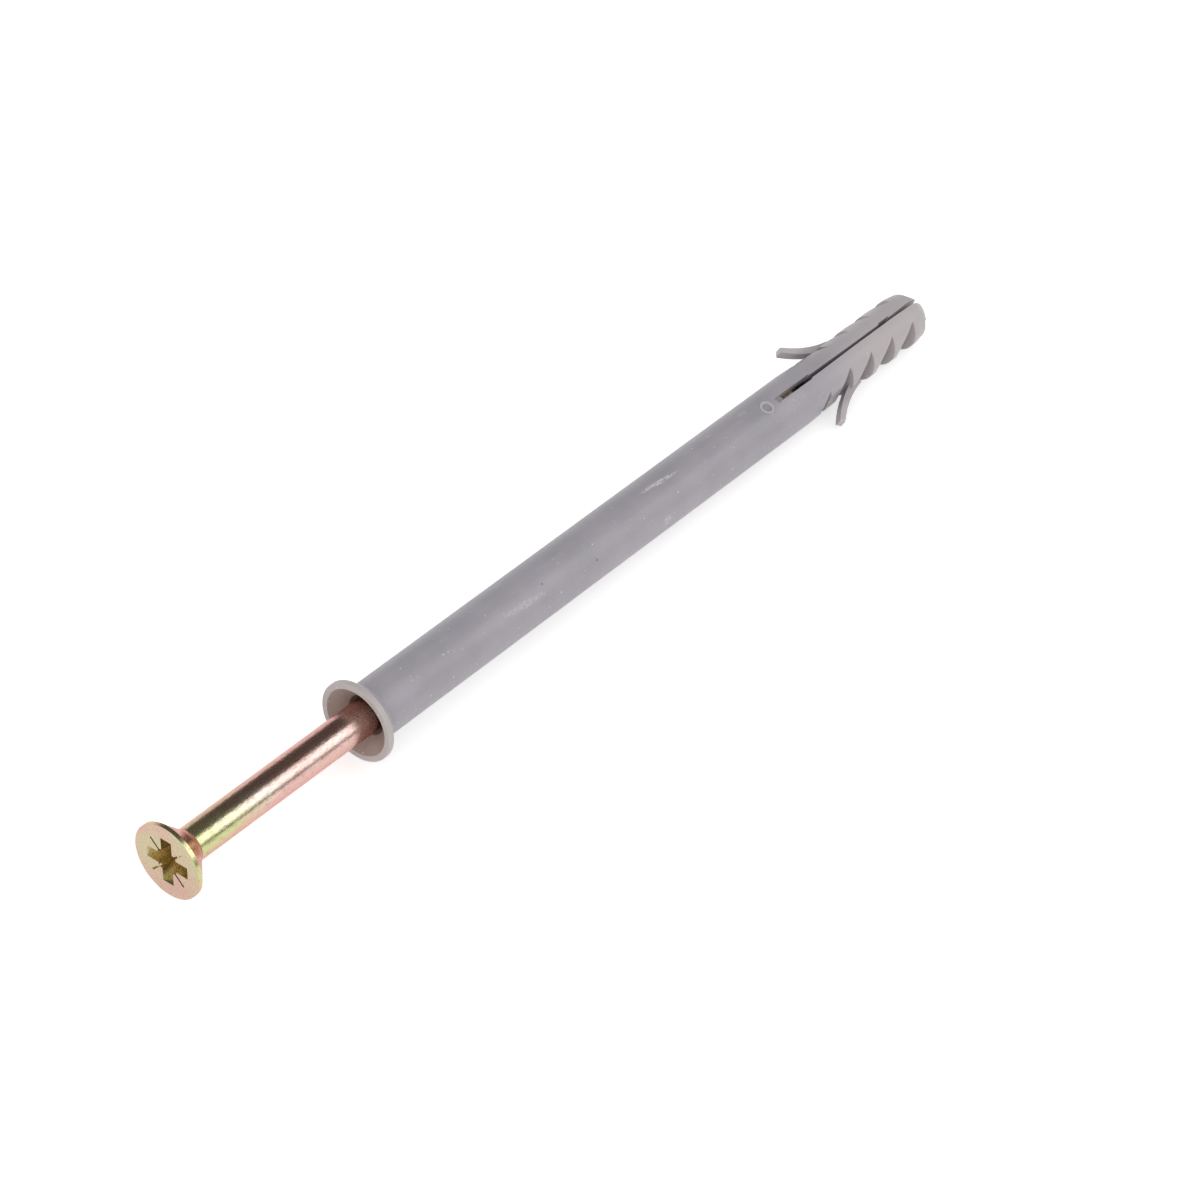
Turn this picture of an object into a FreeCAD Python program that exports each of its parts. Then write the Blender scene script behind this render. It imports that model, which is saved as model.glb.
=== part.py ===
import FreeCAD, Part
import math
import os

V = FreeCAD.Vector

# All sizes are in millimetres. x runs along the fixing from the collar face to the tip,
# z faces the slit's marked side and y crosses the slit.

# Sleeve, outside
sleeve_length = 120.0
body_d = 8.0
collar_d = 11.7
collar_land = 0.8
collar_edge_round = 0.15
grip_length = 28.5
grip_taper_length = 4.0
nose_length = 3.8
nose_shoulder_length = 2.0
nose_shoulder_r = 3.6
nose_end_r = 2.4
nose_rib_proud = 0.4
nose_rib_inset = 0.1
nose_rib_root = 0.5
nose_rib_low = -1.6
nose_rib_high = 0.6

# Sleeve, inside
mouth_r = 4.95
mouth_neck_r = 2.95
mouth_neck_length = 2.5
bore_clearance = 0.05
bore_unspread_length = 27.0
bore_narrowing_length = 4.5
bore_narrow_r = 1.25
bore_end_r = 0.9
bore_end_wall = 3.5

# Slit through both walls of the gripping end, from its root to the tip
slit_length = 34.2
slit_back_length = 33.8
slit_floor_length = 1.4
slit_floor_depth = 0.5
slit_wide_length = 7.7
slit_taper_length = 9.5
slit_even_length = 10.0
slit_wide = 0.95
slit_step = 0.62
slit_narrow = 0.44
slit_tip = 0.9
slit_nick_from_tip = 10.2
slit_nick_length = 2.4
slit_nick_depth = 0.2

# Round flat mark beside the slit's root
mark_from_slit = 2.2
mark_d = 2.1
mark_proud = 0.08
mark_ring = 0.3
mark_hollow = 0.25

# Saw teeth on the two sides, each a ramp that ends in a step towards the collar
tooth_first_from_tip = 4.7
tooth_pitch = 4.9
tooth_count = 3
tooth_crest_r = 3.85
tooth_valley = 2.2
tooth_ramp_length = 4.6
tooth_ramp_middle_length = 2.3
tooth_ramp_middle = 3.3
relief_ramp_length = 2.0
relief_ramp = 3.25
relief_land_length = 3.2
relief_crest = 3.5
relief_valley = 3.1
relief_end_length = 2.2
cutter_lift = 0.03

# Barbs, one on each side, that point back towards the collar. Each point is given as its
# distance from the last tooth's step towards the collar, and its distance from the axis.
barb_turn = 11.0
barb_width = 1.6
barb_outer_root = (-2.2, 3.8)
barb_outer_middle = (1.5, 4.85)
barb_tip = (5.1, 7.0)
barb_inner_tip = (5.65, 6.45)
barb_inner_middle = (2.7, 4.35)
barb_inner_root = (-0.1, 3.05)
barb_buried_r = 1.6
barb_tip_round = 0.35
barb_round_loss = 0.2

# Screw
exposed_length = 34.6
point_past_bore = 2.4
shank_d = 4.8
head_d = 10.9
head_land = 0.6
head_neck_depth = 3.0
neck_end_depth = 3.9
point_length = 5.0
point_tip_r = 0.3

# Cross recess in the head, with four short lines between its arms
recess_span = 6.9
recess_turn = -20.5
recess_depth = 3.1
recess_arm_width = 1.8
recess_floor_span = 3.8
recess_floor_width = 1.2
recess_core_side = 3.0
recess_core_floor_side = 1.9
recess_core_deeper = 0.3
recess_line_inner_r = 1.6
recess_line_outer_r = 3.75
recess_line_width = 0.28
recess_line_depth = 0.4

# How far a cutter reaches past the surface that it cuts, and the turn about x at which the part lies
cut_past = 1.0
rest_turn = 16.0

# Values that follow from the ones above
body_r = body_d / 2
collar_r = collar_d / 2
shank_r = shank_d / 2
head_r = head_d / 2
bore_r = shank_r + bore_clearance
collar_base_x = collar_land + collar_r - body_r
mouth_neck_x = mouth_r - mouth_neck_r
grip_start_x = sleeve_length - grip_length
nose_taper_x = sleeve_length - nose_length
nose_end_x = sleeve_length - nose_rib_proud
bore_straight_end = sleeve_length - bore_unspread_length
slit_root_x = sleeve_length - slit_length
slit_wide_end = slit_root_x + slit_wide_length
slit_narrow_x = slit_wide_end + slit_taper_length
slit_flare_x = slit_narrow_x + slit_even_length
slit_nick_x = sleeve_length - slit_nick_from_tip
mark_x = slit_root_x - mark_from_slit
tooth_first_x = sleeve_length - tooth_first_from_tip
last_tooth_x = tooth_first_x - tooth_count * tooth_pitch
relief_crest_x = last_tooth_x - relief_ramp_length - relief_land_length
barb_tip_x = last_tooth_x - barb_tip[0]
head_neck_r = head_r - (head_neck_depth - head_land)
screw_end_x = bore_straight_end + point_past_bore
recess_core_depth = recess_depth + recess_core_deeper

# The fixing lies on its collar and its nose, turned no further than until a barb meets the floor
rest_tilt = math.atan2(collar_r - tooth_crest_r, nose_taper_x - collar_land)
collar_height = collar_land * math.sin(rest_tilt) + collar_r * math.cos(rest_tilt)
barb_height = collar_height / math.cos(rest_tilt) - barb_tip_x * math.tan(rest_tilt)
corner_out = barb_tip[1] - barb_round_loss * barb_tip_round
corner_side = barb_width / 2 - barb_round_loss * barb_tip_round
corner_drop = math.asin(barb_height / math.hypot(corner_out, corner_side))
barb_touch_roll = corner_drop - math.atan2(corner_side, corner_out) - math.radians(barb_turn)
rest_roll = min(math.radians(rest_turn), barb_touch_roll)
middle_x = (sleeve_length - exposed_length) / 2


def closed_face(edges_or_points):
    """A face from a list of points, or from ready edges."""
    if isinstance(edges_or_points[0], V):
        wire = Part.makePolygon(edges_or_points + edges_or_points[:1])
    else:
        wire = Part.Wire(edges_or_points)
    return Part.Face(wire)


def revolved(profile):
    """A full turn about the x axis of a profile given as (x, radius) pairs."""
    face = closed_face([V(x, r, 0) for x, r in profile])
    return face.revolve(V(0, 0, 0), V(1, 0, 0), 360)


def box_between(low, high):
    """A box from its lowest to its highest corner."""
    return Part.makeBox(high[0] - low[0], high[1] - low[1], high[2] - low[2], V(*low))


def both_sides(shape):
    """The shape and its twin half a turn about the x axis away."""
    twin = shape.copy()
    twin.rotate(V(0, 0, 0), V(1, 0, 0), 180)
    return [shape, twin]


def sleeve_outside():
    """Collar, plain body and blunt nose with its raised rib."""
    blank = revolved([
        (0, 0), (0, collar_r), (collar_land, collar_r), (collar_base_x, body_r),
        (grip_start_x, body_r), (grip_start_x + grip_taper_length, tooth_crest_r),
        (nose_taper_x, tooth_crest_r), (sleeve_length - nose_shoulder_length, nose_shoulder_r),
        (nose_end_x, nose_end_r), (nose_end_x, 0),
    ])
    rim = [e for e in blank.Edges
           if isinstance(e.Curve, Part.Circle) and abs(e.Curve.Radius - collar_r) < 1e-6]
    blank = blank.makeFillet(collar_edge_round, rim)
    round_end = Part.makeCylinder(nose_end_r - nose_rib_inset, nose_rib_proud + nose_rib_root,
                                  V(nose_end_x - nose_rib_root, 0, 0), V(1, 0, 0))
    rib = round_end.common(box_between((0, -body_r, nose_rib_low),
                                       (sleeve_length, body_r, nose_rib_high)))
    top = body_r + mark_proud
    mark = Part.makeCylinder(mark_d / 2, top, V(mark_x, 0, 0), V(0, 0, 1))
    hollow = Part.makeCylinder(mark_d / 2 - mark_ring, mark_hollow + mark_proud,
                               V(mark_x, 0, top - mark_hollow), V(0, 0, 1))
    return blank.fuse([rib, mark]).cut(hollow)


def sleeve_bore():
    """Flared mouth, straight bore for the screw, and the narrow end that the screw forces open."""
    narrow_x = bore_straight_end + bore_narrowing_length
    end = sleeve_length - bore_end_wall
    return revolved([
        (-cut_past, 0), (-cut_past, mouth_r), (0, mouth_r), (mouth_neck_x, mouth_neck_r),
        (mouth_neck_x + mouth_neck_length, bore_r), (bore_straight_end, bore_r),
        (narrow_x, bore_narrow_r), (end, bore_end_r), (end, 0),
    ])


def slit():
    """The slit as it is seen from its marked side, cut right through, with its shallow root."""
    back = sleeve_length - slit_back_length
    front = slit_root_x + slit_floor_length
    end = sleeve_length + cut_past
    top = body_r + cut_past
    upper = [
        (slit_wide_end, slit_wide), (slit_wide_end, slit_step), (slit_narrow_x, slit_narrow),
        (slit_flare_x, slit_narrow), (end, slit_tip),
    ]
    cutters = []
    for start, z_from, z_to in ((back, -top, 0), (front, 0, top)):
        outline = [(start, slit_wide)] + upper
        points = [V(x, w / 2, z_from) for x, w in outline]
        points += [V(x, -w / 2, z_from) for x, w in reversed(outline)]
        cutters.append(closed_face(points).extrude(V(0, 0, z_to - z_from)))
    cutters.append(box_between((slit_root_x, -slit_wide / 2, body_r - slit_floor_depth),
                               (front, slit_wide / 2, top)))
    cutters.append(box_between((slit_nick_x, 0, bore_narrow_r),
                               (slit_nick_x + slit_nick_length, slit_narrow / 2 + slit_nick_depth,
                                top)))
    return cutters[0].fuse(cutters[1:])


def notch_across(edges):
    """A notch profile in x and y, cut straight across the sleeve."""
    face = closed_face(edges)
    top = body_r + cut_past
    face.translate(V(0, 0, -top))
    return face.extrude(V(0, 0, 2 * top))


def tooth_notch(x):
    """The hollow between the step at x and the crest of the next tooth towards the collar."""
    top = body_r + cut_past
    valley = V(x, tooth_valley, 0)
    middle = V(x - tooth_ramp_middle_length, tooth_ramp_middle, 0)
    crest = V(x - tooth_ramp_length, tooth_crest_r + cutter_lift, 0)
    return notch_across([
        Part.makeLine(V(x, top, 0), valley),
        Part.Arc(valley, middle, crest).toShape(),
        Part.makeLine(crest, V(crest.x, top, 0)),
        Part.makeLine(V(crest.x, top, 0), V(x, top, 0)),
    ])


def barb_relief():
    """The lower place behind the barb, with the last small tooth and its run-out to the body."""
    top = body_r + cut_past
    end = relief_crest_x - relief_end_length
    return notch_across([
        V(last_tooth_x, top, 0), V(last_tooth_x, tooth_valley, 0),
        V(last_tooth_x - relief_ramp_length, relief_ramp, 0),
        V(relief_crest_x, relief_crest, 0), V(relief_crest_x, relief_valley, 0),
        V(end, body_r + cutter_lift, 0), V(end, top, 0),
    ])


def barb():
    """One curved barb on the side of +y, rooted in the fourth tooth from the tip."""
    def at(point):
        return V(last_tooth_x - point[0], point[1], -barb_width / 2)

    tip = at(barb_tip)
    buried = [at((barb_inner_root[0], barb_buried_r)), at((barb_outer_root[0], barb_buried_r))]
    outline = closed_face([
        Part.Arc(at(barb_outer_root), at(barb_outer_middle), tip).toShape(),
        Part.makeLine(tip, at(barb_inner_tip)),
        Part.Arc(at(barb_inner_tip), at(barb_inner_middle), at(barb_inner_root)).toShape(),
        Part.makeLine(at(barb_inner_root), buried[0]),
        Part.makeLine(buried[0], buried[1]),
        Part.makeLine(buried[1], at(barb_outer_root)),
    ])
    blade = outline.extrude(V(0, 0, barb_width))
    corners = [e for e in blade.Edges
               if e.Vertexes[0].Z == e.Vertexes[-1].Z and max(v.X for v in e.Vertexes) <= barb_tip_x]
    blade = blade.makeFillet(barb_tip_round, corners)
    blade.rotate(V(0, 0, 0), V(1, 0, 0), barb_turn)
    return blade


def make_sleeve():
    """The whole nylon moulding, in one piece."""
    notches = [tooth_notch(tooth_first_x - k * tooth_pitch) for k in range(tooth_count)]
    notches.append(barb_relief())
    cutters = [twin for notch in notches for twin in both_sides(notch)]
    toothed = sleeve_outside().cut(cutters)
    barbed = toothed.fuse(both_sides(barb()))
    return barbed.cut([sleeve_bore(), slit()]).removeSplitter()


def tapered_bar(length, width, floor_length, floor_width, depth):
    """A straight bar sunk into the head, larger at the head's face than at its floor."""
    def outline(x, span, across):
        y, z = span / 2, across / 2
        return Part.makePolygon([V(x, -y, -z), V(x, y, -z), V(x, y, z), V(x, -y, z), V(x, -y, -z)])

    face_x = -exposed_length
    return Part.makeLoft([outline(face_x, length, width),
                          outline(face_x + depth, floor_length, floor_width)], True, True)


def recess():
    """The cross recess: two bars, a square core and four short lines between the bars."""
    face_x = -exposed_length
    bars = [tapered_bar(recess_span, recess_arm_width, recess_floor_span, recess_floor_width,
                        recess_depth) for _ in range(2)]
    bars[1].rotate(V(0, 0, 0), V(1, 0, 0), 90)
    core = tapered_bar(recess_core_side, recess_core_side, recess_core_floor_side,
                       recess_core_floor_side, recess_core_depth)
    lines = []
    for k in range(4):
        line = box_between((face_x - cut_past, recess_line_inner_r, -recess_line_width / 2),
                           (face_x + recess_line_depth, recess_line_outer_r, recess_line_width / 2))
        line.rotate(V(0, 0, 0), V(1, 0, 0), 45 + 90 * k)
        lines.append(line)
    whole = bars[0].fuse([bars[1], core] + lines)
    whole.rotate(V(0, 0, 0), V(1, 0, 0), recess_turn)
    return whole


def make_screw():
    """Countersunk screw with a plain shank and a pointed end."""
    top = -exposed_length
    end = screw_end_x
    blank = revolved([
        (top, 0), (top, head_r), (top + head_land, head_r), (top + head_neck_depth, head_neck_r),
        (top + neck_end_depth, shank_r), (end - point_length, shank_r), (end, point_tip_r), (end, 0),
    ])
    return blank.cut(recess())


def at_rest(shape):
    """The shape rolled to its place, tilted onto collar and nose, and set over the origin."""
    placed = shape.copy()
    placed.rotate(V(0, 0, 0), V(1, 0, 0), math.degrees(rest_roll))
    placed.translate(V(-middle_x, 0, 0))
    placed.rotate(V(0, 0, 0), V(0, 1, 0), math.degrees(rest_tilt))
    placed.translate(V(0, 0, collar_height - middle_x * math.sin(rest_tilt)))
    return placed


os.makedirs("parts", exist_ok=True)
at_rest(make_sleeve()).exportStep("parts/sleeve.step")
at_rest(make_screw()).exportStep("parts/screw.step")
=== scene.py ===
import math

import bpy
from mathutils import Matrix, Vector


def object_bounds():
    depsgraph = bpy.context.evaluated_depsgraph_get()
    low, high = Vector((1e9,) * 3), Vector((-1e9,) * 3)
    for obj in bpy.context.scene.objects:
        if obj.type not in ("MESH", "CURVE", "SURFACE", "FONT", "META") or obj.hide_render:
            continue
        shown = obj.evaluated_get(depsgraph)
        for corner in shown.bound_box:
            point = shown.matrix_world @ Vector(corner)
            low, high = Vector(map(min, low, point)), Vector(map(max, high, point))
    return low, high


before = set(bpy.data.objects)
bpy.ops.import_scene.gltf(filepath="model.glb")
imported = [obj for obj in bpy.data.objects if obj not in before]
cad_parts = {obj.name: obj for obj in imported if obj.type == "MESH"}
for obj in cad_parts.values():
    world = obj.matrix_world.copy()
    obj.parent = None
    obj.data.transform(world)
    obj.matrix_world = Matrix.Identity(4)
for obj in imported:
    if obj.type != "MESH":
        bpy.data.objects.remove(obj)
cad_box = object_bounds()


def linear(r, g, b):
    """A colour given as screen values from 0 to 255, as linear light."""
    def one(v):
        v /= 255
        return v / 12.92 if v <= 0.04045 else ((v + 0.055) / 1.055) ** 2.4

    return (one(r), one(g), one(b), 1.0)


# Camera, in metres and degrees: it aims at a point from a bearing and a height, with a small roll
CAMERA_AIM = (-0.00254, -0.00734, 0.005)
CAMERA_BEARING = 216.719
CAMERA_HEIGHT = 42.216
CAMERA_DISTANCE = 0.58309
CAMERA_ROLL = 4.437
LENS = 132.02
SENSOR_WIDTH = 36
NEAREST_SEEN = 0.01
FARTHEST_SEEN = 20

# Studio floor and backdrop
WHITE = (1, 1, 1, 1)
FLOOR_GAP = 0.00002
FLOOR_HALF_SIDE = 4.0
FLOOR_PAINT = (0.8, 0.8, 0.8, 1)
FLOOR_GLOW = 0.50
FILL = 0.75

# Lamps. Each soft light is given as its direction from the part, size, power and colour
LAMP_DISTANCE = 0.95
SOFTBOX_TOWARDS = (0.60, -0.58, 0.58)
SOFTBOX_SIZE = 0.58
SOFTBOX_POWER = 0.86
SOFT_LIGHTS = {
    "front_fill": ((-0.10, -0.90, 0.08), 0.60, 1.80, (1.0, 0.90, 0.84)),
    "collar_fill": ((-0.95, -0.30, 0.32), 0.60, 2.20, (1.0, 0.97, 0.93)),
    "back_fill": ((0.10, 0.90, 0.60), 0.60, 0.35, (0.97, 0.98, 1.0)),
}

# Dark panels that only show in gloss, each given by two opposite corners
FLAGS = {
    "flag_above": ((-2, -0.45, 1.1), (3, 1.3, 1.1)),
    "flag_behind": ((-2, 1.3, 0.45), (3, 1.3, 1.1)),
    "flag_front": ((-1, -1.6, 0.0), (3, -1.6, 0.42)),
}
FLAG_TONE = (0.098, 0.086, 0.078, 1)

# Axis of the fixing
AXIS_POINT = (0.0, 0.0, 0.005123)
AXIS = (0.99984985, 0.0, -0.01732842)

# Mouth of the sleeve: radii at its face and its neck, and places along the axis
MOUTH_RADIUS = 0.00497
MOUTH_NECK_RADIUS = 0.0033
MOUTH_END = -0.0385
MOUTH_BLUR = 0.001
COLLAR_FACE = -0.0427
COLLAR_END = -0.0418

# Toothed end, paled with painted light that stands in for light through its thin walls: where it
# starts along the axis, the stretch over which it turns pale, and the distances from the axis
# between which a barb turns pale
GRIP_START = 0.049
GRIP_FADE = 0.015
BARB_PALE_FROM = 0.0042
BARB_PALE_TO = 0.0052

# Middle of the round mark, and the radii of its ring
MARK = (0.04096, -0.00112, 0.00834)
MARK_RING_INNER = 0.00070
MARK_RING_OUTER = 0.00104
MARK_RING_BLUR = 0.00008

# Wear on the nylon. Specks are given as cells per metre, share of the cells, radius in cells
# and strength, and worn streaks as start, end, half width and strength
PALE_SPECKS = ((1100.0, 0.26, 0.10, 0.85), (2300.0, 0.20, 0.14, 0.65))
DARK_SPECKS = (420.0, 0.08, 0.04, 0.6)
DARK_SPOTS = ((0.00136, -0.00343, 0.00717), (-0.00860, -0.00216, 0.00864))
DARK_SPOT_RADIUS = 0.00008
DARK_SPOT_EDGE = 0.00022
SCUFFS = (
    ((0.01420, -0.00020, 0.00887), (0.02140, -0.00083, 0.00867), 0.00034, 1.00),
    ((0.01500, -0.00390, 0.00540), (0.01690, -0.00405, 0.00515), 0.00070, 0.55),
    ((-0.01660, -0.00264, 0.00841), (-0.00890, -0.00299, 0.00793), 0.00050, 0.40),
    ((0.03650, 0.00053, 0.00847), (0.03830, 0.00053, 0.00842), 0.00045, 0.40),
)

# Colours of the nylon, and how fully some of them cover their zones
NYLON_DARK = linear(153, 150, 158)
NYLON_LIGHT = linear(164, 160, 168)
STREAK_TONE = linear(172, 168, 174)
STREAK_COVER = 0.25
# Painted light: the barbs and the toothed end turn paler, standing in for light coming through the
# thin nylon
THIN_WALL_LIGHT_TONE = linear(183, 177, 178)
TOOTHED_LIGHT_COVER = 0.85
# Painted shade and a painted warm reflection of the screw, inside the sleeve's mouth
MOUTH_SHADE_TONE = linear(162, 142, 130)
MOUTH_SHADE_COVER = 0.9
RIM_TONE = linear(186, 179, 176)
RIM_COVER = 0.8
RING_TONE = linear(196, 193, 197)
RING_COVER = 0.6
SPECK_PALE = linear(222, 216, 215)
SPECK_DARK = linear(100, 96, 102)
DARK_SPOT_COVER = 0.8
SCUFF_TONE = linear(214, 209, 212)

# Surface of the nylon. Noise scales are per metre, an x scale below one draws a noise out
# along the part, and depths are in metres
NYLON_CLOUD_SCALE = 140.0
FLOW_SCALE = 900.0
FLOW_X_SCALE = 0.25
SCUFF_PATCH_SCALE = 3600.0
NYLON_ROUGHNESS = (0.40, 0.52)
WAVE_SCALE = 420.0
WAVE_DEPTH = 0.00012
SKIN_SCALE = 5200.0
SKIN_DEPTH = 0.00003

# Places along x on the screw: the head's face, the end of its neck, the end of the free shank
# and where the painted shade of the sleeve's mouth starts on the shank
HEAD_FACE_X = -0.0774
NECK_X = -0.0735
SHANK_END_X = -0.0440
SLEEVED_X = -0.0420

# Side of the screw that keeps the gold tone, and where its edge lies by the neck and at the end of
# its narrowing, as the cosine of the angle from that side. Gold on this side and pink round the
# rest are partly the film's own colours and partly
# a painted sheen: the colours the film shows toward the softbox and toward the floor, fixed to
# sides of the screw
GOLD_SHEEN_SIDE = (0.0, -0.643, 0.766)
GOLD_SHEEN_EDGE = (0.58, 0.86)
GOLD_SHEEN_NARROWING = 0.0155

# Stretches along the screw: the pink's turn of tone and the olive's fade beyond the neck,
# the painted shade's edge and the plain film's start inside the mouth, and the gilding of the
# recess behind the head's face and before the neck
PINK_FADE = 0.0135
OLIVE_FULL = 0.007
OLIVE_END = 0.017
SHADE_BEFORE = 0.001
SHADE_BEYOND = 0.0008
PLAIN_START = 0.008
PLAIN_FULL = 0.012
RECESS_START = 0.00025
RECESS_FULL = 0.0009
RECESS_FADE = 0.0007

# Colours of the zinc film, with a painted darker reflection and painted shade among them, the gold
# ones along the free shank, and how fully some cover
GOLD_TONES = (
    (0.00, linear(222, 224, 168)), (0.20, linear(229, 220, 186)),
    (0.42, linear(234, 210, 202)), (1.00, linear(236, 206, 200)),
)
# Partly the film's green and partly a painted darker reflection, on the front of the shank by the
# head
OLIVE_SHADE_TONE = linear(190, 198, 132)
OLIVE_SHADE_COVER = 0.75
PINK_TONES = ((0.35, linear(219, 184, 172)), (0.65, linear(216, 175, 171)))
PINK_BY_HEAD = linear(206, 190, 156)
# Painted shade where the sleeve's mouth darkens the shank
PAINTED_SHADE_TONE = linear(140, 108, 94)
PAINTED_SHADE_COVER = 0.7
PLAIN_TONES = (linear(222, 210, 166), linear(222, 200, 172))
NECK_TONES = (linear(202, 156, 150), linear(208, 166, 160))
FACE_TONES = ((0.40, linear(198, 189, 158)), (0.60, linear(206, 174, 160)))
RECESS_TONE = linear(222, 206, 166)
RECESS_COVER = 0.85
GRAIN_TONE = linear(128, 104, 76)
GRAIN_COVER = 0.50
GLOSS_TINT = linear(246, 216, 212)

# Surface of the zinc, in the same units as the nylon's
FILM_CLOUD_SCALE = 170.0
FILM_STREAK_SCALE = 900.0
FILM_STREAK_X_SCALE = 0.3
GRAIN_SCALE = 3400.0
GRAIN_X_SCALE = 0.35
ZINC_ROUGHNESS = (0.19, 0.37)
PIT_DEPTH = 0.00004


class Graph:
    """Adds nodes to a node tree and links them as they are made."""

    def __init__(self, tree):
        self.tree = tree

    def add(self, kind, settings=None, **inputs):
        node = self.tree.nodes.new(kind)
        for key, value in (settings or {}).items():
            setattr(node, key, value)
        for key, value in inputs.items():
            self.put(node, key.replace("_", " "), value)
        return node

    def put(self, node, socket, value):
        target = node.inputs[socket]
        if isinstance(value, bpy.types.NodeSocket):
            self.tree.links.new(value, target)
        else:
            target.default_value = value

    def math(self, operation, a, b=0.0):
        node = self.add("ShaderNodeMath", {"operation": operation})
        self.put(node, 0, a)
        self.put(node, 1, b)
        return node.outputs[0]

    def times(self, a, b):
        return self.math("MULTIPLY", a, b)

    def mix(self, factor, a, b):
        node = self.add("ShaderNodeMix", {"data_type": "RGBA"})
        self.put(node, 0, factor)
        self.put(node, 6, a)
        self.put(node, 7, b)
        return node.outputs[2]

    def vector(self, operation, a, b=(0.0, 0.0, 0.0)):
        node = self.add("ShaderNodeVectorMath", {"operation": operation})
        self.put(node, 0, a)
        if operation != "LENGTH":
            self.put(node, 1, b)
        return node

    def split(self, vector):
        return self.add("ShaderNodeSeparateXYZ", Vector=vector).outputs

    def ramp(self, value, stops):
        node = self.add("ShaderNodeValToRGB")
        self.put(node, "Fac", value)
        marks = node.color_ramp.elements
        while len(marks) < len(stops):
            marks.new(1.0)
        for mark, (place, colour) in zip(marks, stops):
            mark.position = place
            mark.color = colour
        return node.outputs["Color"]

    def span(self, value, low, high, out_low=0.0, out_high=1.0):
        """The value's place from low to high, clamped, and laid out from out_low to out_high."""
        node = self.add("ShaderNodeMapRange", {"clamp": True})
        for socket, number in (("Value", value), ("From Min", low), ("From Max", high),
                               ("To Min", out_low), ("To Max", out_high)):
            self.put(node, socket, number)
        return node.outputs["Result"]

    def noise(self, place, scale, detail=2.0, roughness=0.5):
        node = self.add("ShaderNodeTexNoise", Vector=place, Scale=scale, Detail=detail,
                        Roughness=roughness)
        return node.outputs["Fac"]

    def place(self, x_scale=1.0):
        """Object coordinates, with x scaled so that a pattern can be drawn out along the part."""
        coords = self.add("ShaderNodeTexCoord").outputs["Object"]
        return self.add("ShaderNodeMapping", Vector=coords, Scale=(x_scale, 1.0, 1.0)).outputs[0]

    def show(self, kind, shader):
        """Leads a shader to a new output node."""
        self.put(self.add(kind), "Surface", shader.outputs[0])


def fresh_graph(owner):
    """The empty node graph of a material or world."""
    owner.use_nodes = True
    owner.node_tree.nodes.clear()
    return Graph(owner.node_tree)


def material(name, **values):
    """A new material with one shader, and values that are the same all over the surface."""
    made = bpy.data.materials.new(name)
    g = fresh_graph(made)
    shader = g.add("ShaderNodeBsdfPrincipled", **values)
    g.show("ShaderNodeOutputMaterial", shader)
    return made, g, shader


def from_line(g, here, point, direction):
    """Distance along a line from a point on it, and distance away from the line."""
    offset = g.vector("SUBTRACT", here, point).outputs["Vector"]
    along = g.vector("DOT_PRODUCT", offset, direction).outputs["Value"]
    side = g.vector("CROSS_PRODUCT", offset, direction).outputs["Vector"]
    return along, g.vector("LENGTH", side).outputs["Value"]


def scuff(g, here, start, end, half_width):
    """How much of a worn streak lies here: one inside an ellipse between two points, else zero."""
    start, end = Vector(start), Vector(end)
    along, across = from_line(g, here, (start + end) / 2, (end - start).normalized())
    along = g.math("POWER", g.math("DIVIDE", along, (end - start).length / 2), 2.0)
    across = g.math("POWER", g.math("DIVIDE", across, half_width), 2.0)
    return g.span(g.math("ADD", along, across), 0.4, 1.3, 1.0, 0.0)


def specks(g, here, scale, share, radius, strength):
    """How much of a small scattered spot lies here."""
    cells = g.add("ShaderNodeTexVoronoi", {"feature": "F1"}, Vector=here, Scale=scale)
    near = g.span(cells.outputs["Distance"], radius, radius * 1.6, 1.0, 0.0)
    drawn = g.add("ShaderNodeSeparateColor", Color=cells.outputs["Color"]).outputs
    chosen = g.math("LESS_THAN", drawn[0], share)
    return g.times(g.times(g.times(near, chosen), drawn[1]), strength)


def nylon_body(g, here, streak):
    """Mid grey with faint clouding and long flow streaks."""
    cloud = g.noise(here, NYLON_CLOUD_SCALE, detail=3.0)
    colour = g.ramp(cloud, ((0.30, NYLON_DARK), (0.70, NYLON_LIGHT)))
    return g.mix(g.span(streak, 0.35, 0.75, 0.0, STREAK_COVER), colour, STREAK_TONE)


def nylon_zones(g, here, colour):
    """Painted light on the thin walls, standing in for light coming through them, painted shade
    and a painted warm reflection of the screw inside the mouth, and the ring of the mark.
    """
    along, away = from_line(g, here, AXIS_POINT, AXIS)
    # Painted light on the barbs and the toothed end, standing in for light through their thin
    # walls
    barb_light = g.times(g.span(away, BARB_PALE_FROM, BARB_PALE_TO),
                    g.math("GREATER_THAN", along, 0.0))
    toothed_light = g.span(along, GRIP_START, GRIP_START + GRIP_FADE, 0.0, TOOTHED_LIGHT_COVER)
    colour = g.mix(g.math("MAXIMUM", barb_light, toothed_light), colour, THIN_WALL_LIGHT_TONE)
    depth = g.math("SUBTRACT", along, COLLAR_FACE)
    # Painted shade and warm reflection of the screw, laid over the mouth's inner wall
    wall = g.math("MAXIMUM", g.math("SUBTRACT", MOUTH_RADIUS, depth), MOUTH_NECK_RADIUS)
    mouth = g.times(g.math("LESS_THAN", away, wall),
                    g.span(along, MOUTH_END, MOUTH_END - MOUTH_BLUR, 0.0, MOUTH_SHADE_COVER))
    rim = g.times(g.math("GREATER_THAN", away, MOUTH_RADIUS),
                  g.math("LESS_THAN", along, COLLAR_END))
    colour = g.mix(mouth, colour, MOUTH_SHADE_TONE)
    colour = g.mix(g.times(rim, RIM_COVER), colour, RIM_TONE)
    from_mark = g.vector("DISTANCE", here, MARK).outputs["Value"]
    within = g.span(from_mark, MARK_RING_OUTER, MARK_RING_OUTER + MARK_RING_BLUR, RING_COVER, 0.0)
    ring = g.times(g.math("GREATER_THAN", from_mark, MARK_RING_INNER), within)
    return g.mix(ring, colour, RING_TONE)


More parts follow.
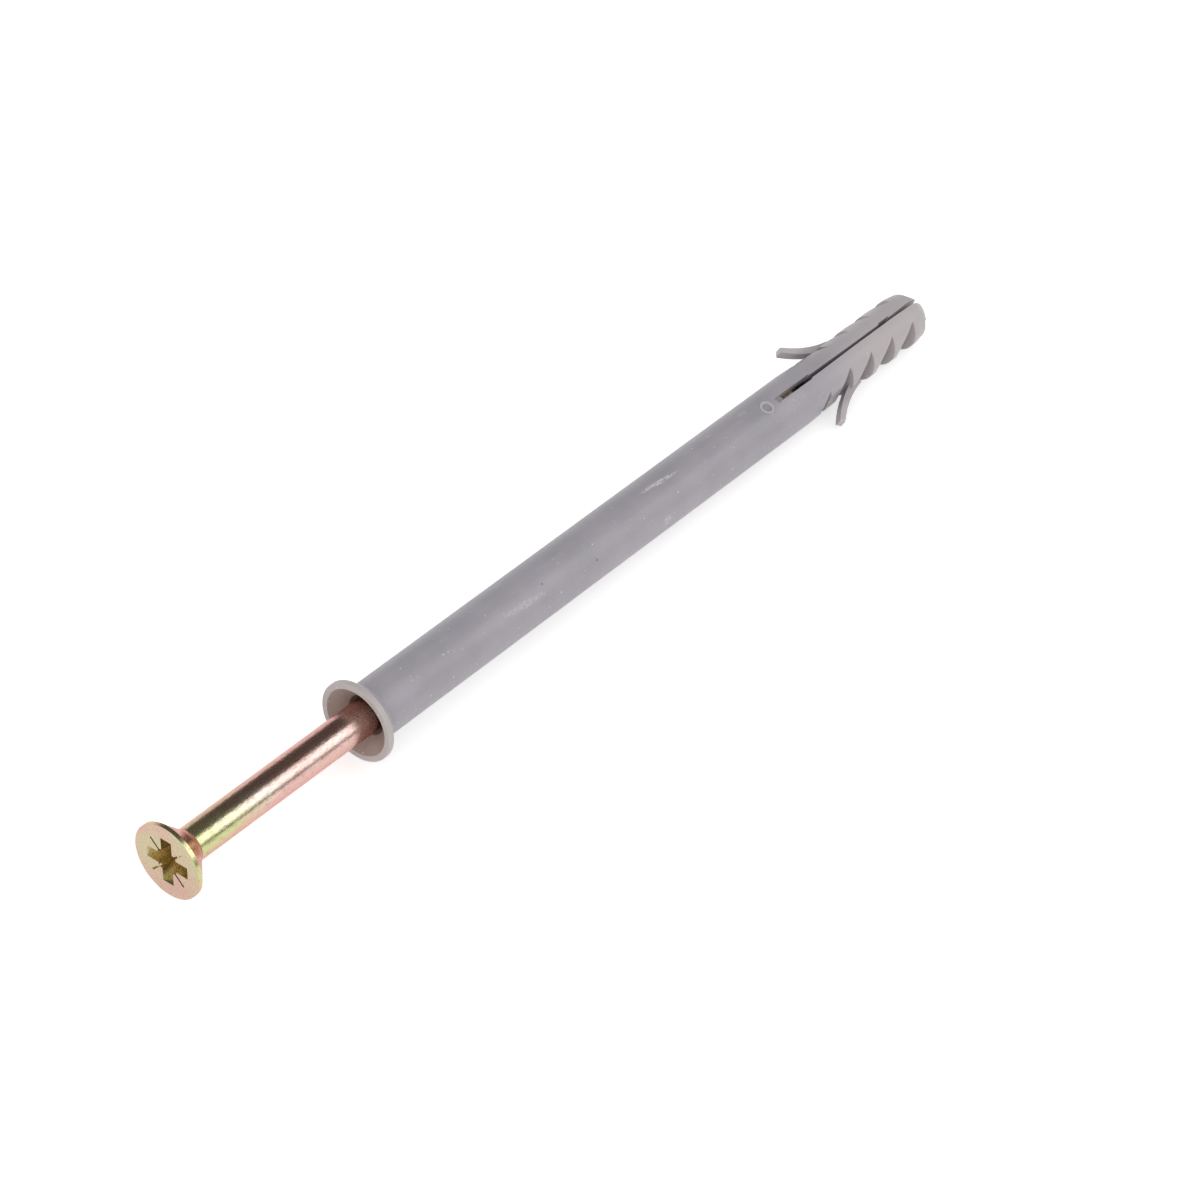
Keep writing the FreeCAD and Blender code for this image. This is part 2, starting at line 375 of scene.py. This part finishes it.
def nylon_wear(g, here, colour):
    """Small pale and dark specks, two dark spots and a few worn streaks."""
    for layer in PALE_SPECKS:
        colour = g.mix(specks(g, here, *layer), colour, SPECK_PALE)
    colour = g.mix(specks(g, here, *DARK_SPECKS), colour, SPECK_DARK)
    for centre in DARK_SPOTS:
        distance = g.vector("DISTANCE", here, centre).outputs["Value"]
        spot = g.span(distance, DARK_SPOT_RADIUS, DARK_SPOT_EDGE, DARK_SPOT_COVER, 0.0)
        colour = g.mix(spot, colour, SPECK_DARK)
    patchy = g.span(g.noise(here, SCUFF_PATCH_SCALE, detail=3.0, roughness=0.7), 0.42, 0.60)
    for start, end, half_width, strength in SCUFFS:
        worn = g.times(scuff(g, here, start, end, half_width), patchy)
        colour = g.mix(g.times(worn, strength), colour, SCUFF_TONE)
    return colour


def nylon():
    """Grey moulded nylon with a satin skin."""
    made, g, shader = material(
        "nylon_satin", Specular_IOR_Level=0.6, Subsurface_Weight=0.22,
        Subsurface_Radius=(1.0, 0.80, 0.68), Subsurface_Scale=0.0009)
    here = g.place()
    along = g.place(FLOW_X_SCALE)
    streak = g.noise(along, FLOW_SCALE, detail=3.0)
    colour = nylon_zones(g, here, nylon_body(g, here, streak))
    g.put(shader, "Base Color", nylon_wear(g, here, colour))
    g.put(shader, "Roughness", g.span(streak, 0.3, 0.8, *NYLON_ROUGHNESS))
    waves = g.add("ShaderNodeBump", Strength=0.25, Distance=WAVE_DEPTH,
                  Height=g.noise(along, WAVE_SCALE))
    skin = g.add("ShaderNodeBump", Strength=0.22, Distance=SKIN_DEPTH, Normal=waves.outputs[0],
                 Height=g.noise(here, SKIN_SCALE, detail=3.0, roughness=0.6))
    g.put(shader, "Normal", skin.outputs[0])
    return made


def shank_film(g, x, normal, cloud):
    """The film on the shank: gold green by the head on one side, a painted sheen over the film's
    own colours, olive on its front, partly a painted darker reflection, and pink beyond and round
    the rest, then painted shade inside the sleeve's mouth and plain yellow deeper in."""
    streak = g.noise(g.place(FILM_STREAK_X_SCALE), FILM_STREAK_SCALE, detail=3.0)
    # Painted sheen: gold is laid on one side of the shank and pink round the rest, as the film's
    # colours toward the softbox and the floor
    facing = g.vector("DOT_PRODUCT", normal, GOLD_SHEEN_SIDE).outputs["Value"]
    facing = g.math("ADD", facing, g.span(cloud, 0.3, 0.7, -0.08, 0.08))
    facing = g.math("ADD", facing, g.span(streak, 0.3, 0.7, -0.07, 0.07))
    gold = g.ramp(g.span(x, NECK_X, SHANK_END_X), GOLD_TONES)
    # Partly the film's green, partly a painted darker reflection on the shank's front by the head
    olive = g.times(g.span(g.split(normal)["Y"], -0.74, -0.92),
                    g.span(x, NECK_X + OLIVE_END, NECK_X + OLIVE_FULL))
    gold = g.mix(g.times(olive, OLIVE_SHADE_COVER), gold, OLIVE_SHADE_TONE)
    pink = g.ramp(cloud, PINK_TONES)
    pink = g.mix(g.span(x, NECK_X + PINK_FADE, NECK_X), pink, PINK_BY_HEAD)
    edge = g.span(x, NECK_X, NECK_X + GOLD_SHEEN_NARROWING, *GOLD_SHEEN_EDGE)
    colour = g.mix(g.span(g.math("SUBTRACT", facing, edge), -0.02, 0.18), pink, gold)
    # Painted shade on the shank where it enters the sleeve's mouth
    painted_shade = g.span(x, SLEEVED_X - SHADE_BEFORE, SLEEVED_X + SHADE_BEYOND, 0.0, PAINTED_SHADE_COVER)
    colour = g.mix(painted_shade, colour, PAINTED_SHADE_TONE)
    plain = g.span(x, SLEEVED_X + PLAIN_START, SLEEVED_X + PLAIN_FULL)
    return g.mix(plain, colour, g.mix(cloud, *PLAIN_TONES))


def head_film(g, x, normal, cloud, colour):
    """The film on the head, laid over the shank's: pink neck, paler face and golden recess."""
    lengthways = g.split(normal)["X"]
    neck = g.times(g.span(lengthways, 0.25, 0.40), g.math("LESS_THAN", x, 0.0))
    colour = g.mix(neck, colour, g.mix(cloud, *NECK_TONES))
    face = g.ramp(cloud, FACE_TONES)
    colour = g.mix(g.span(lengthways, -0.60, -0.90), colour, face)
    deep = g.times(g.span(x, HEAD_FACE_X + RECESS_START, HEAD_FACE_X + RECESS_FULL),
                   g.span(x, NECK_X, NECK_X - RECESS_FADE))
    recess = g.times(deep, g.span(lengthways, 0.10, -0.05, 0.0, RECESS_COVER))
    return g.mix(recess, colour, RECESS_TONE)


def zinc():
    """Yellow passivated zinc on steel, with a fine grain."""
    made, g, shader = material("zinc_yellow", Metallic=1.0, Specular_Tint=GLOSS_TINT)
    here = g.place()
    x = g.split(here)["X"]
    normal = g.add("ShaderNodeTexCoord").outputs["Normal"]
    cloud = g.noise(here, FILM_CLOUD_SCALE)
    colour = head_film(g, x, normal, cloud, shank_film(g, x, normal, cloud))
    grain = g.noise(g.place(GRAIN_X_SCALE), GRAIN_SCALE, detail=3.0, roughness=0.65)
    colour = g.mix(g.span(grain, 0.52, 0.78, 0.0, GRAIN_COVER), colour, GRAIN_TONE)
    g.put(shader, "Base Color", colour)
    g.put(shader, "Roughness", g.span(grain, 0.3, 0.8, *ZINC_ROUGHNESS))
    pits = g.add("ShaderNodeBump", Strength=0.58, Distance=PIT_DEPTH, Height=grain)
    g.put(shader, "Normal", pits.outputs[0])
    return made


def seen_ray(g):
    """One for rays from the camera and for rays that a gloss or a clear body sends on."""
    path = g.add("ShaderNodeLightPath").outputs
    seen = g.math("MAXIMUM", path["Is Camera Ray"], path["Is Glossy Ray"])
    return g.math("MAXIMUM", seen, path["Is Transmission Ray"])


def make_world():
    """A backdrop that looks white and lights the part at the fill's strength."""
    world = bpy.data.worlds.new("studio")
    g = fresh_graph(world)
    strength = g.span(seen_ray(g), 0.0, 1.0, FILL, 1.0)
    g.show("ShaderNodeOutputWorld", g.add("ShaderNodeBackground", Color=WHITE, Strength=strength))
    bpy.context.scene.world = world


def plane(name, low, high, look):
    """A stage rectangle between two opposite corners, in one material."""
    corners = (low, (high[0], low[1], low[2]), high, (low[0], high[1], high[2]))
    mesh = bpy.data.meshes.new(name)
    mesh.from_pydata([Vector(c) for c in corners], [], [(0, 1, 2, 3)])
    mesh.materials.append(look)
    made = bpy.data.objects.new(name, mesh)
    bpy.context.scene.collection.objects.link(made)
    return made


def make_floor(height):
    """A pale floor that takes the part's shadow, and glows so that it looks white."""
    white = bpy.data.materials.new("floor_white")
    g = fresh_graph(white)
    paint = g.add("ShaderNodeBsdfDiffuse", Color=FLOOR_PAINT)
    glow = g.add("ShaderNodeEmission", Color=WHITE,
                 Strength=g.span(seen_ray(g), 0.0, 1.0, 0.0, FLOOR_GLOW))
    both = g.add("ShaderNodeAddShader")
    g.put(both, 0, paint.outputs[0])
    g.put(both, 1, glow.outputs[0])
    g.show("ShaderNodeOutputMaterial", both)
    plane("floor", (-FLOOR_HALF_SIDE, -FLOOR_HALF_SIDE, height),
          (FLOOR_HALF_SIDE, FLOOR_HALF_SIDE, height), white)


def make_flags():
    """Dark studio panels: one overhead, one behind and a low one in front."""
    dark = bpy.data.materials.new("flag_dark")
    g = fresh_graph(dark)
    g.show("ShaderNodeOutputMaterial", g.add("ShaderNodeEmission", Color=FLAG_TONE, Strength=1.0))
    for name, (low, high) in FLAGS.items():
        panel = plane(name, low, high, dark)
        panel.visible_camera = False
        panel.visible_diffuse = False
        panel.visible_shadow = False


def area_light(name, towards, size, power, colour=(1, 1, 1)):
    """A square lamp that lies in a direction from the part and faces it."""
    lamp = bpy.data.lights.new(name, "AREA")
    lamp.shape = "SQUARE"
    lamp.size = size
    lamp.energy = power
    lamp.color = colour
    box = bpy.data.objects.new(name, lamp)
    towards = Vector(towards).normalized()
    box.location = towards * LAMP_DISTANCE
    box.rotation_mode = "QUATERNION"
    box.rotation_quaternion = (-towards).to_track_quat("-Z", "Y")
    box.visible_camera = False
    bpy.context.scene.collection.objects.link(box)
    return box


def make_lights():
    """The softbox that shows in the gloss, and wide soft lights that don't."""
    area_light("softbox", SOFTBOX_TOWARDS, SOFTBOX_SIZE, SOFTBOX_POWER)
    for name, (towards, size, power, colour) in SOFT_LIGHTS.items():
        box = area_light(name, towards, size, power, colour)
        box.visible_glossy = False


def make_camera():
    """The camera at the photo's place."""
    data = bpy.data.cameras.new("camera")
    data.lens = LENS
    data.sensor_width = SENSOR_WIDTH
    data.clip_start = NEAREST_SEEN
    data.clip_end = FARTHEST_SEEN
    camera = bpy.data.objects.new("camera", data)
    bearing, height, roll = (math.radians(a) for a in (CAMERA_BEARING, CAMERA_HEIGHT, CAMERA_ROLL))
    back = Vector((math.cos(height) * math.cos(bearing), math.cos(height) * math.sin(bearing),
                   math.sin(height)))
    level = Vector((0, 0, 1)).cross(back).normalized()
    right = Matrix.Rotation(roll, 3, back) @ level
    turn = Matrix((right, back.cross(right), back)).transposed()
    place = Vector(CAMERA_AIM) + back * CAMERA_DISTANCE
    camera.matrix_world = Matrix.Translation(place) @ turn.to_4x4()
    bpy.context.scene.collection.objects.link(camera)
    bpy.context.scene.camera = camera


def dress(node, made):
    """Gives a CAD node its material in every slot."""
    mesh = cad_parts[node].data
    for index in range(len(mesh.materials)):
        mesh.materials[index] = made


dress("sleeve", nylon())
dress("screw", zinc())
make_world()
make_floor(cad_box[0].z - FLOOR_GAP)
make_flags()
make_lights()
make_camera()
bpy.context.scene.view_settings.view_transform = "Standard"
